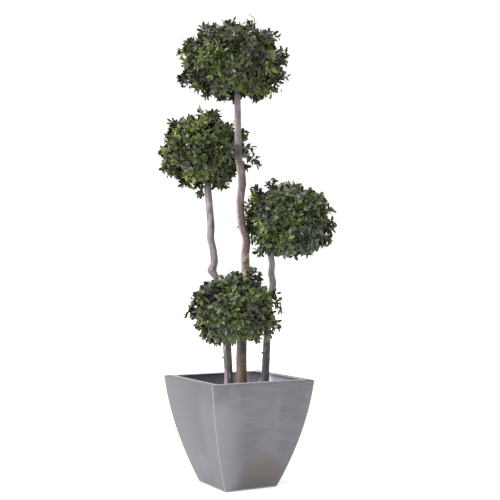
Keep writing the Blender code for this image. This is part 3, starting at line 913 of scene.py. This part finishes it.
STRAY_RADII = (0.0021, 0.0013)
BOUGH_SIDES = 8
LIMB_SIDES = 5
TWIG_SIDES = 4
SHOOT_SIDES = 3
BOUGH_STEPS = 4
TWIG_STEPS = 3
OLD_WOOD = 0
YOUNG_WOOD = 1
FORK_SHARE = (0.60, 0.76)
SPRAY_WANDER = 0.10
SPRAY_DIP = 0.22
SPRAY_DIP_SCALE = 4.6
SPRAY_SHARE = (0.84, 1.05)
BALL_NOISE_SHIFT = 5
BOUGH_HOLLOW = 0.24
BOUGH_HOLLOW_WIDTH = 0.055
SHOOTS = (3, 5)
SHOOT_SPREAD = 0.12
SHOOT_SHARE = (0.88, 1.03)
SHOOT_LEAVES = (7, 9)
SHOOT_BARE = 0.25
SHOOT_CLIPPED = 0.012
SPRIG_SPREAD = 0.05
FRESH_REACH = 0.016
LEAF_LENGTHS = (0.020, 0.031)
LEAF_WIDTHS = (0.42, 0.55)
LEAF_OPENING = (math.radians(80), math.radians(36))
LEAF_CLOSING = 1.5
LEAF_STRAY = 0.30
LEAF_CURL = (0.02, 0.24)
LEAF_FOLD = (0.05, 0.30)
LEAF_TWIST = 0.30
LEAF_ROLL = 0.60
LEAF_DROOP = 0.16
LEAF_ROOT_SUNK = 0.0006
LEAF_CLEARANCE = 0.0012
LAST_LEAF_SHARE = 0.78
TO_LIGHT = Vector((0, 0, 0.5))
INNER_SPRAYS = 90
INNER_SHARE = (0.55, 0.74)
INNER_SPREAD = 0.192
STRAY_SPRIGS = 9
STRAY_REACH = (1.06, 1.18)
GOLDEN_TURN = math.pi * (3 - math.sqrt(5))
STEM_MARGIN = 0.05
STEM_RING_STEP = 4

# A leaf's outline: shares of its length and of its half width, from root to tip
LEAF_STATIONS = ((0.26, 0.62), (0.58, 1.00), (0.86, 0.66))

# Leaf tones: deep, dark, mid, fresh, lime and greyed green, and the tones that mix with each
LEAF_TONES = (
    (0.032, 0.034, 0.025),
    (0.040, 0.050, 0.024),
    (0.053, 0.072, 0.021),
    (0.081, 0.107, 0.024),
    (0.119, 0.148, 0.032),
    (0.070, 0.088, 0.066),
)
DARK = 1
LIME = 4
LEAF_MIXES = (
    (0, 0, 0, 1), (1, 1, 1, 0, 2), (2, 2, 2, 1, 3), (3, 3, 3, 2, 4), (4, 4, 3), (5, 5, 5, 1, 3),
)
LEAF_ROUGHNESS = (0.30, 0.48)

# Twig tones: old wood, young wood and dead bleached wood
TWIG_TONES = ((0.110, 0.085, 0.095), (0.120, 0.100, 0.080), (0.300, 0.270, 0.240))
TWIG_ROUGHNESS = (0.65, 0.90)


def outline_reach(crown, direction):
    """Distance from the heart to the ball's outline: squarer than round and wider than tall,
    with its underside hollowed round the bough."""
    level = math.hypot(direction.x, direction.y)
    above = direction.z > 0
    upright = abs(direction.z) / (crown.half_height if above else crown.base)
    power = crown.power_above if above else crown.power_below
    reach = ((level / crown.half_width) ** power + upright**power) ** (-1 / power)
    if direction.z < 0:
        reach *= 1 - BOUGH_HOLLOW * math.exp(-((level * reach / BOUGH_HOLLOW_WIDTH) ** 2))
    return reach


def even_directions(crown, count, chance, wander):
    """Directions from the heart, spread evenly over the ball and each moved a little."""
    for step in range(count):
        up = 1 - (2 * step + 1) / count
        level = math.sqrt(1 - up * up)
        turn = step * GOLDEN_TURN
        stray = Vector([chance.uniform(-wander, wander) for axis in range(3)])
        even = Vector((level * math.cos(turn), level * math.sin(turn), up)) + stray
        even.x *= crown.half_width
        even.y *= crown.half_width
        even.z *= crown.half_height
        yield even.normalized()


def is_fresh(crown, tip):
    """Whether a spray on the ball's front is in one of its patches of fresh growth."""
    across = math.cos(FRONT) * tip.x - math.sin(FRONT) * tip.y
    back = math.sin(FRONT) * tip.x + math.cos(FRONT) * tip.y
    gaps = (math.hypot(across - patch[0], tip.z - patch[1]) for patch in crown.fresh)
    return back < 0 and any(gap < FRESH_REACH for gap in gaps)


def bowed(start, end, sag, steps):
    """Points from start to end, bowed to one side."""
    middle = (start + end) / 2 + sag
    line = []
    for step in range(steps + 1):
        share = step / steps
        line.append(start * (1 - share) ** 2 + middle * 2 * share * (1 - share) + end * share**2)
    return line


class Growth:
    """Corners and faces of one ball's wood, and roots, runs and tones of its leaves."""

    def __init__(self):
        self.corners, self.faces, self.kinds, self.leaves = [], [], [], []

    def wood(self, line, radii, sides, kind):
        """A tapering twig along a line, closed at its tip."""
        first = len(self.corners)
        for index, point in enumerate(line):
            ahead = line[min(index + 1, len(line) - 1)] - line[max(index - 1, 0)]
            if index == 0:
                across = ahead.orthogonal()
            across = (across - ahead * across.dot(ahead) / ahead.length_squared).normalized()
            beside = ahead.cross(across).normalized()
            radius = radii[0] + (radii[1] - radii[0]) * index / (len(line) - 1)
            for side in range(sides):
                angle = math.tau * side / sides
                outward = across * math.cos(angle) + beside * math.sin(angle)
                self.corners.append(point + outward * radius)
        for index in range(len(line) - 1):
            low = first + index * sides
            for side in range(sides):
                beyond = (side + 1) % sides
                self.faces.append((low + side, low + beyond, low + sides + beyond))
                self.faces.append((low + side, low + sides + beyond, low + sides + side))
                self.kinds += [kind, kind]
        last = first + (len(line) - 1) * sides
        for side in range(1, sides - 1):
            self.faces.append((last, last + side, last + side + 1))
            self.kinds.append(kind)

    def leaf(self, root, run, facing, length, tone, chance):
        """A leaf from its root along its run, its upper face turned towards the light."""
        across = facing.cross(run).normalized()
        upper = run.cross(across)
        roll = Matrix.Rotation(chance.gauss(0, LEAF_ROLL), 3, run)
        width, curl, fold = (chance.uniform(*span) for span in (LEAF_WIDTHS, LEAF_CURL, LEAF_FOLD))
        sizes = (length, width, curl, fold, chance.uniform(-LEAF_TWIST, LEAF_TWIST))
        self.leaves.append((*root, *run, *(roll @ across), *(roll @ upper), *sizes, tone))

    def leafy(self, line, count, aim, tone, chance):
        """Leaves set spirally along a shoot past its bare foot, closing up towards the tip."""
        first_turn = chance.uniform(0, math.tau)
        facing = (aim + TO_LIGHT).normalized()
        for number in range(count):
            along = (number + 1) / count
            place = (SHOOT_BARE + (1 - SHOOT_BARE) * along) * (len(line) - 1)
            index = min(int(place), len(line) - 2)
            growth = (line[index + 1] - line[index]).normalized()
            root = line[index].lerp(line[index + 1], place - index)
            closing = along**LEAF_CLOSING
            opening = LEAF_OPENING[0] + (LEAF_OPENING[1] - LEAF_OPENING[0]) * closing
            opening += chance.gauss(0, LEAF_STRAY)
            turn = Matrix.Rotation(first_turn + number * GOLDEN_TURN, 3, growth)
            side = turn @ growth.orthogonal().normalized()
            run = growth * math.cos(opening) + side * math.sin(opening)
            run = (run - Vector((0, 0, LEAF_DROOP * chance.random()))).normalized()
            length = chance.uniform(*LEAF_LENGTHS)
            if number == count - 1:
                length *= LAST_LEAF_SHARE
            shade = chance.choice(LEAF_MIXES[tone])
            self.leaf(root - run * LEAF_ROOT_SUNK, run, facing, length, shade, chance)


def grow(crown, chance, heart, bough_tip, bough_radius):
    """All the wood and leaves of one ball."""
    made = Growth()
    foot = bough_tip + Vector((0, 0, SEAT_GAP))
    bough = bowed(foot, heart, Vector(), BOUGH_STEPS)
    made.wood(bough, (bough_radius, LIMB_RADII[0]), BOUGH_SIDES, OLD_WOOD)
    limb_tips = []
    for direction in even_directions(crown, LIMB_COUNT, chance, 0.0):
        tip = heart + direction * outline_reach(crown, direction) * LIMB_SHARE
        limb = bowed(heart, tip, Vector((0, 0, LIMB_SAG)), TWIG_STEPS)
        made.wood(limb, LIMB_RADII, LIMB_SIDES, OLD_WOOD)
        limb_tips.append(tip)

    # Each spray's tip from the heart, and the spread of its shoots, the shaded inner ones first
    tips = []
    for direction in even_directions(crown, INNER_SPRAYS, chance, SPRAY_WANDER):
        depth = chance.uniform(*INNER_SHARE)
        tips.append((direction * outline_reach(crown, direction) * depth, INNER_SPREAD))
    for direction in even_directions(crown, crown.sprays, chance, SPRAY_WANDER):
        shift = Vector((crown.seed * BALL_NOISE_SHIFT, 0, 0))
        dip = noise.noise(direction * SPRAY_DIP_SCALE + shift)
        depth = (1 - SPRAY_DIP * max(0.0, dip)) * chance.uniform(*SPRAY_SHARE)
        tips.append((direction * outline_reach(crown, direction) * depth, SHOOT_SPREAD))
    tips += [(set_out(across, 0, up), SPRIG_SPREAD) for across, up in crown.sprigs]
    for number in range(STRAY_SPRIGS):
        aim = Vector([chance.gauss(0, 1) for axis in range(3)]).normalized()
        reach = outline_reach(crown, aim) * chance.uniform(*STRAY_REACH)
        tips.append((aim * reach, SPRIG_SPREAD))
    tips += [(set_out(*reaching[:3]), SPRIG_SPREAD) for reaching in crown.reaching]

    bare_twig = [heart + set_out(across, 0, up) for across, up in crown.stray]
    made.wood(bare_twig, STRAY_RADII, TWIG_SIDES, crown.stray_tone)

    for order, (tip, spread) in enumerate(tips):
        tone = chance.choices(range(len(LEAF_TONES)), crown.tones)[0]
        if order < INNER_SPRAYS:
            tone = DARK + order % 2
        elif order >= len(tips) - len(crown.reaching):
            tone = crown.reaching[order - len(tips)][3]
        elif is_fresh(crown, tip):
            tone = LIME
        fork = heart + tip * chance.uniform(*FORK_SHARE)
        limb_tip = min(limb_tips, key=lambda limb: (limb - fork).length)
        sag = Vector([chance.uniform(-TWIG_SAG, TWIG_SAG) for axis in range(3)])
        made.wood(bowed(limb_tip, fork, sag, TWIG_STEPS), TWIG_RADII, TWIG_SIDES, OLD_WOOD)
        for number in range(chance.randint(*SHOOTS)):
            stray = Vector([chance.gauss(0, spread) for axis in range(3)])
            aim = (tip.normalized() + stray).normalized()
            share = 1.0 if number == 0 else chance.uniform(*SHOOT_SHARE)
            end = heart + aim * (tip.length * share - SHOOT_CLIPPED)
            sag = Vector([chance.uniform(-SHOOT_SAG, SHOOT_SAG) for axis in range(3)])
            drop = Vector((0, 0, crown.droop * math.hypot(aim.x, aim.y)))
            line = bowed(fork, end - drop, aim * SHOOT_BOW + sag + drop, TWIG_STEPS)
            made.wood(line, SHOOT_RADII, SHOOT_SIDES, YOUNG_WOOD)
            made.leafy(line, chance.randint(*SHOOT_LEAVES), aim, tone, chance)
    return made


def leaf_mesh(leaves):
    """Corners of all leaves and the faces of one, from the leaves' roots, runs and sizes."""
    root, run, across, upper = (leaves[:, start : start + 3] for start in (0, 3, 6, 9))
    length, width, curl, fold, twist = (leaves[:, [column]] for column in range(12, 17))
    half = length * width / 2
    corners = [root]
    for along, wide in LEAF_STATIONS:
        middle = root + run * length * along - upper * length * curl * along**2
        for side in (-1, 0, 1):
            lift = half * wide * (fold + twist * side) if side else 0
            corners.append(middle + across * half * wide * side + upper * lift)
    corners.append(root + run * length - upper * length * curl)
    faces = [(0, 1, 2), (0, 2, 3)]
    for station in range(len(LEAF_STATIONS) - 1):
        low = 1 + station * 3
        for column in (0, 1):
            a, b, c, d = low + column, low + column + 1, low + column + 3, low + column + 4
            faces += [(a, c, d), (a, d, b)]
    last = 1 + (len(LEAF_STATIONS) - 1) * 3
    tip = last + 3
    faces += [(last, tip, last + 1), (last + 1, tip, last + 2)]
    return np.stack(corners, axis=1), np.array(faces)


def is_off_wood(points):
    """Whether each point is clear of every stem."""
    clear = np.ones(len(points), bool)
    for line, radii in stem_lines.values():
        rings = np.array([list(point) for point in line[:-1:STEM_RING_STEP]])
        thick = np.array(radii[:-1:STEM_RING_STEP])
        low, high = rings.min(0) - STEM_MARGIN, rings.max(0) + STEM_MARGIN
        near = np.nonzero(((points > low) & (points < high)).all(1))[0]
        away = np.linalg.norm(points[near][:, None] - rings[None], axis=2)
        clear[near] &= (away > thick + LEAF_CLEARANCE).all(1)
    return clear


leaf_finishes = [
    uneven_finish(
        f"leaf green {number + 1}", tone, 0.38, LEAF_ROUGHNESS,
        scale=240, detail=3, depth=0.0006, gloss=0.36,
    )
    for number, tone in enumerate(LEAF_TONES)
]
twig_finishes = [
    uneven_finish(
        f"twig {number + 1}", tone, 0.8, TWIG_ROUGHNESS,
        scale=420, detail=4, depth=0.0004, gloss=0.3,
    )
    for number, tone in enumerate(TWIG_TONES)
]

for label, crown in CROWNS.items():
    bough_points, bough_radii = stem_lines[crown.bough]
    heart = set_out(*crown.heart)
    chance = random.Random(crown.seed)
    made = grow(crown, chance, heart, bough_points[-1], bough_radii[-1])
    leaves = np.array(made.leaves)
    corners, faces = leaf_mesh(leaves)
    off_wood = is_off_wood(corners.reshape(-1, 3)).reshape(len(leaves), -1).all(1)
    corners = corners[off_wood]
    count, each = corners.shape[:2]
    every = (faces[None] + each * np.arange(count)[:, None, None]).reshape(-1, 3)
    tones = np.repeat(leaves[off_wood, -1].astype(int), len(faces))
    foliage = joined("leaves_" + label, corners.reshape(-1, 3), every, tones, leaf_finishes)
    corners = np.array([list(corner) for corner in made.corners])
    wood = joined("twigs_" + label, corners, np.array(made.faces), made.kinds, twig_finishes)
    for piece, slot in ((foliage, "foliage"), (wood, "bark")):
        piece.data.shade_smooth()
        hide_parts("crown_" + label)
        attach(piece, "root")


# The sizes. The box round the solids and the box round the dressed plant, set side by side.
boxes = {"cad": cad_box, "visual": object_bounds()}
{name: [list(corner) for corner in box] for name, box in boxes.items()}
